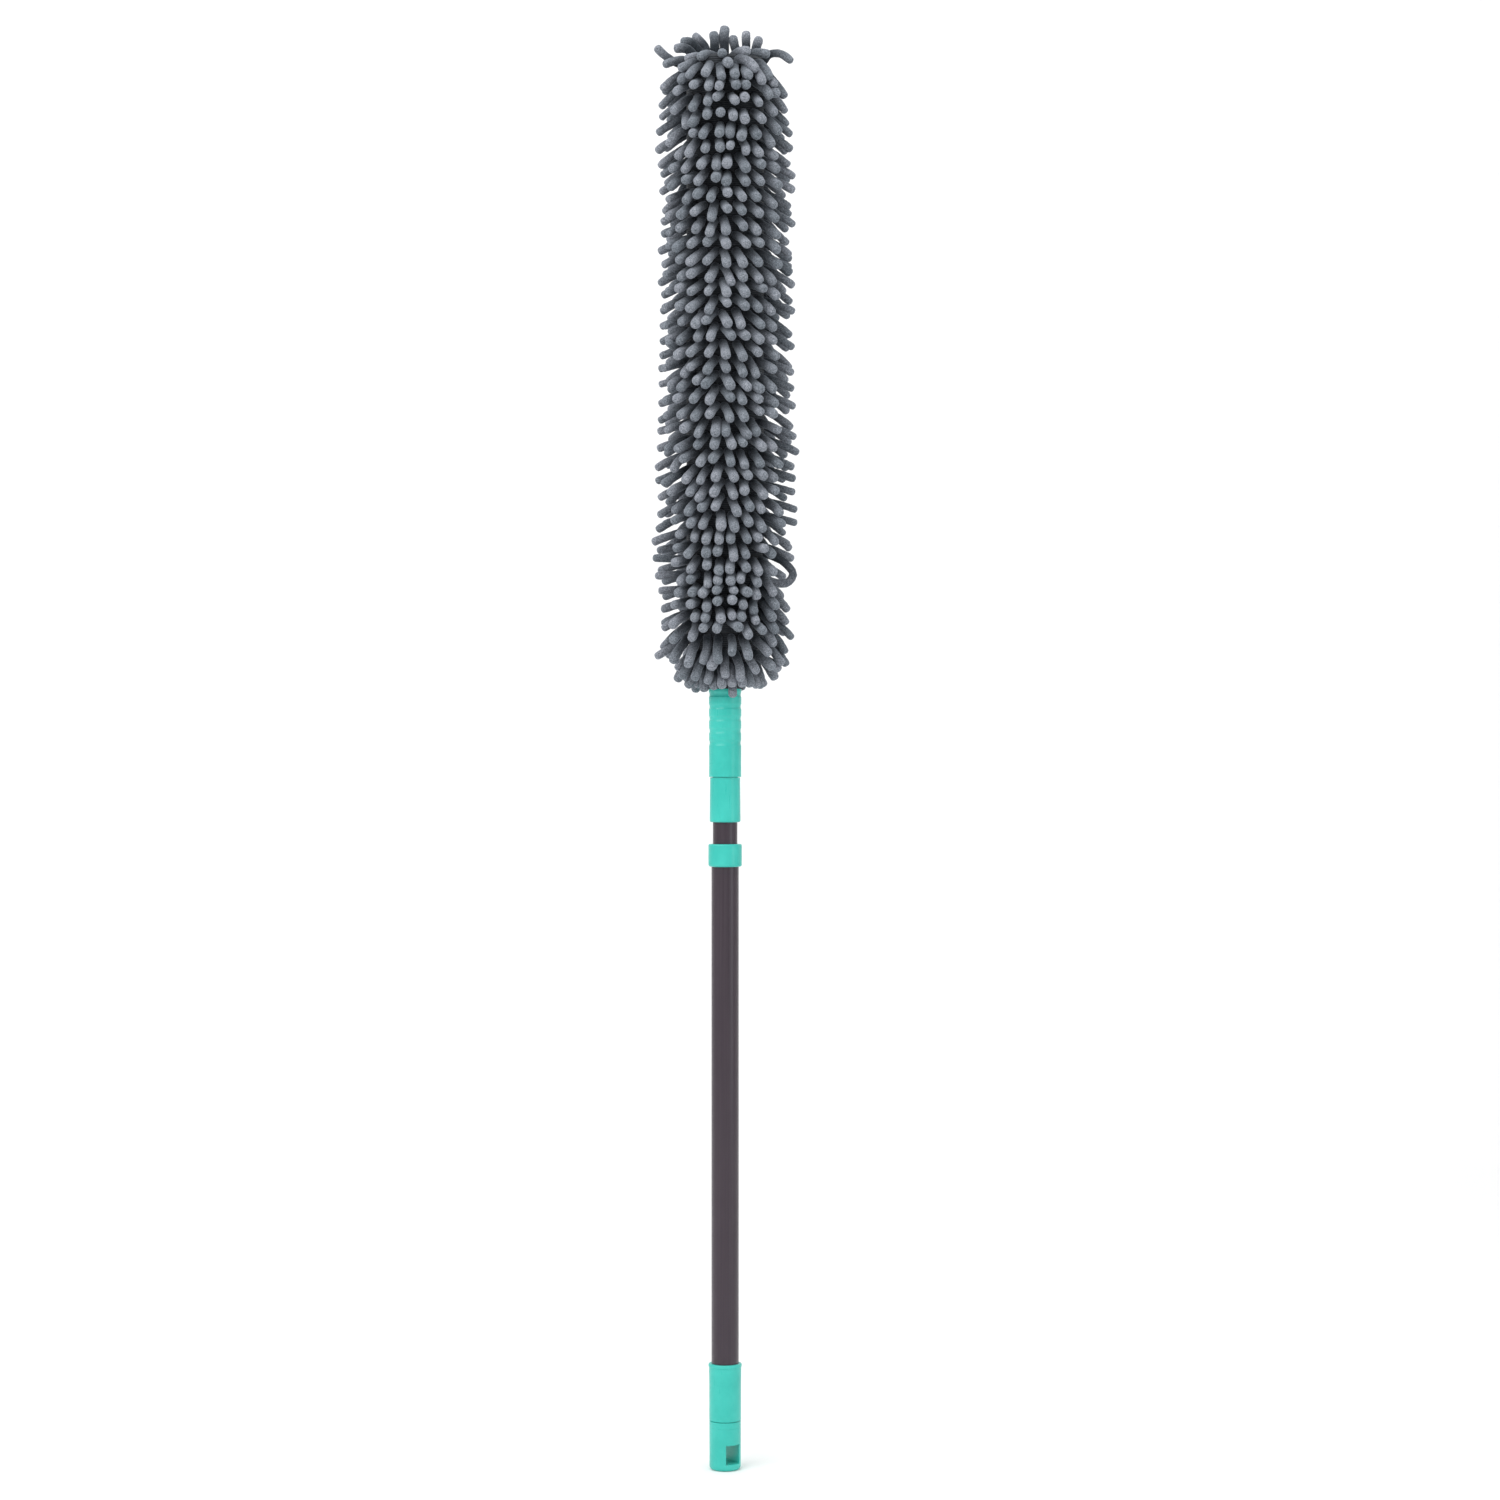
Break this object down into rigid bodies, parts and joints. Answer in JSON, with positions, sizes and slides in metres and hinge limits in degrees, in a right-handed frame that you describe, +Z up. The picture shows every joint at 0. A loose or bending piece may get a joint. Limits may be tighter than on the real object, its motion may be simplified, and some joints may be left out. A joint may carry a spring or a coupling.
{
  "type": "feather duster",
  "caption": "Bendable chenille duster head on a ribbed grip that plugs onto a telescopic twist-lock pole, with a turning hanging cap at its foot.",
  "frame": {"origin": "on the pole's axis, at the flat bottom of the hanging cap", "axes": "+Z up the pole towards the duster's tip, +X the wide way of the head, +Y its thin way; the front of the picture is -Y"},
  "size_m": [0.104, 0.084, 1.157],
  "materials": {
    "turquoise_plastic": "satin moulded plastic",
    "pole_lacquer": "gunmetal lacquer, semi-gloss",
    "nylon": "natural nylon, matt",
    "steel": "zinc plated, satin",
    "foam": "open-cell foam, matt",
    "chenille": "grey microfibre chenille, matt",
    "knit_band": "ribbed elastic knit, matt"
  },
  "bodies": {
    "outer_section": {"outer_tube": "pole_lacquer", "collar": "turquoise_plastic", "end_sleeve": "turquoise_plastic", "end_plug": "nylon"},
    "hanger": {"hanging_cap": "turquoise_plastic"},
    "lock_ring": {"lock_ring": "nylon"},
    "inner_section": {"inner_tube": "pole_lacquer", "lock_plug": "nylon", "lock_washer": "nylon", "lock_screw": "steel", "pole_adapter": "turquoise_plastic"},
    "head_base": {"grip": "turquoise_plastic", "core_holder": "nylon", "holder_pin": "steel", "cover_cuff": "knit_band", "cover_1": "chenille", "core_foam_1": "foam", "wire_left_1": "steel", "wire_right_1": "steel"},
    "head_2": {"cover_2": "chenille", "core_foam_2": "foam", "wire_left_2": "steel", "wire_right_2": "steel"},
    "head_3": {"cover_3": "chenille", "core_foam_3": "foam", "wire_left_3": "steel", "wire_right_3": "steel"},
    "head_4": {"cover_4": "chenille", "core_foam_4": "foam", "wire_left_4": "steel", "wire_right_4": "steel"},
    "head_5": {"cover_5": "chenille", "core_foam_5": "foam", "wire_left_5": "steel", "wire_right_5": "steel"},
    "head_6": {"cover_6": "chenille", "core_foam_6": "foam", "wire_left_6": "steel", "wire_right_6": "steel"},
    "head_7": {"cover_7": "chenille", "core_foam_7": "foam", "wire_left_7": "steel", "wire_right_7": "steel"},
    "head_8": {"cover_8": "chenille", "core_foam_8": "foam", "wire_tip": "steel", "tip_cap": "nylon"}
  },
  "joints": [
    {"name": "pole_extend", "type": "slide", "parent": "outer_section", "child": "lock_ring", "axis": [0, 0, 1], "range_m": [0, 0.34]},
    {"name": "pole_twist", "type": "hinge", "parent": "lock_ring", "child": "inner_section", "pos_m": [0, 0, 0.07], "axis": [0, 0, 1], "range_deg": [-25, 25]},
    {"name": "head_pull_off", "type": "slide", "parent": "inner_section", "child": "head_base", "axis": [0, 0, 1], "range_m": [0, 0.042]},
    {"name": "hanger_swivel", "type": "hinge", "parent": "outer_section", "child": "hanger", "pos_m": [0, 0, 0.0393], "axis": [0, 0, 1], "continuous": true},
    {"name": "head_bend_1", "type": "hinge", "parent": "head_base", "child": "head_2", "pos_m": [0, 0, 0.7015], "axis": [1, 0, 0], "range_deg": [-12, 12]},
    {"name": "head_bend_2", "type": "hinge", "parent": "head_2", "child": "head_3", "pos_m": [0, 0, 0.763], "axis": [1, 0, 0], "range_deg": [-12, 12]},
    {"name": "head_bend_3", "type": "hinge", "parent": "head_3", "child": "head_4", "pos_m": [0, 0, 0.8245], "axis": [1, 0, 0], "range_deg": [-12, 12]},
    {"name": "head_bend_4", "type": "hinge", "parent": "head_4", "child": "head_5", "pos_m": [0, 0, 0.886], "axis": [1, 0, 0], "range_deg": [-12, 12]},
    {"name": "head_bend_5", "type": "hinge", "parent": "head_5", "child": "head_6", "pos_m": [0, 0, 0.9475], "axis": [1, 0, 0], "range_deg": [-12, 12]},
    {"name": "head_bend_6", "type": "hinge", "parent": "head_6", "child": "head_7", "pos_m": [0, 0, 1.009], "axis": [1, 0, 0], "range_deg": [-12, 12]},
    {"name": "head_bend_7", "type": "hinge", "parent": "head_7", "child": "head_8", "pos_m": [0, 0, 1.0705], "axis": [1, 0, 0], "range_deg": [-12, 12]}
  ],
  "couplings": [
    {"joint": "head_bend_2", "follows": "head_bend_1", "ratio": 1},
    {"joint": "head_bend_3", "follows": "head_bend_1", "ratio": 1},
    {"joint": "head_bend_4", "follows": "head_bend_1", "ratio": 1},
    {"joint": "head_bend_5", "follows": "head_bend_1", "ratio": 1},
    {"joint": "head_bend_6", "follows": "head_bend_1", "ratio": 1},
    {"joint": "head_bend_7", "follows": "head_bend_1", "ratio": 1}
  ]
}
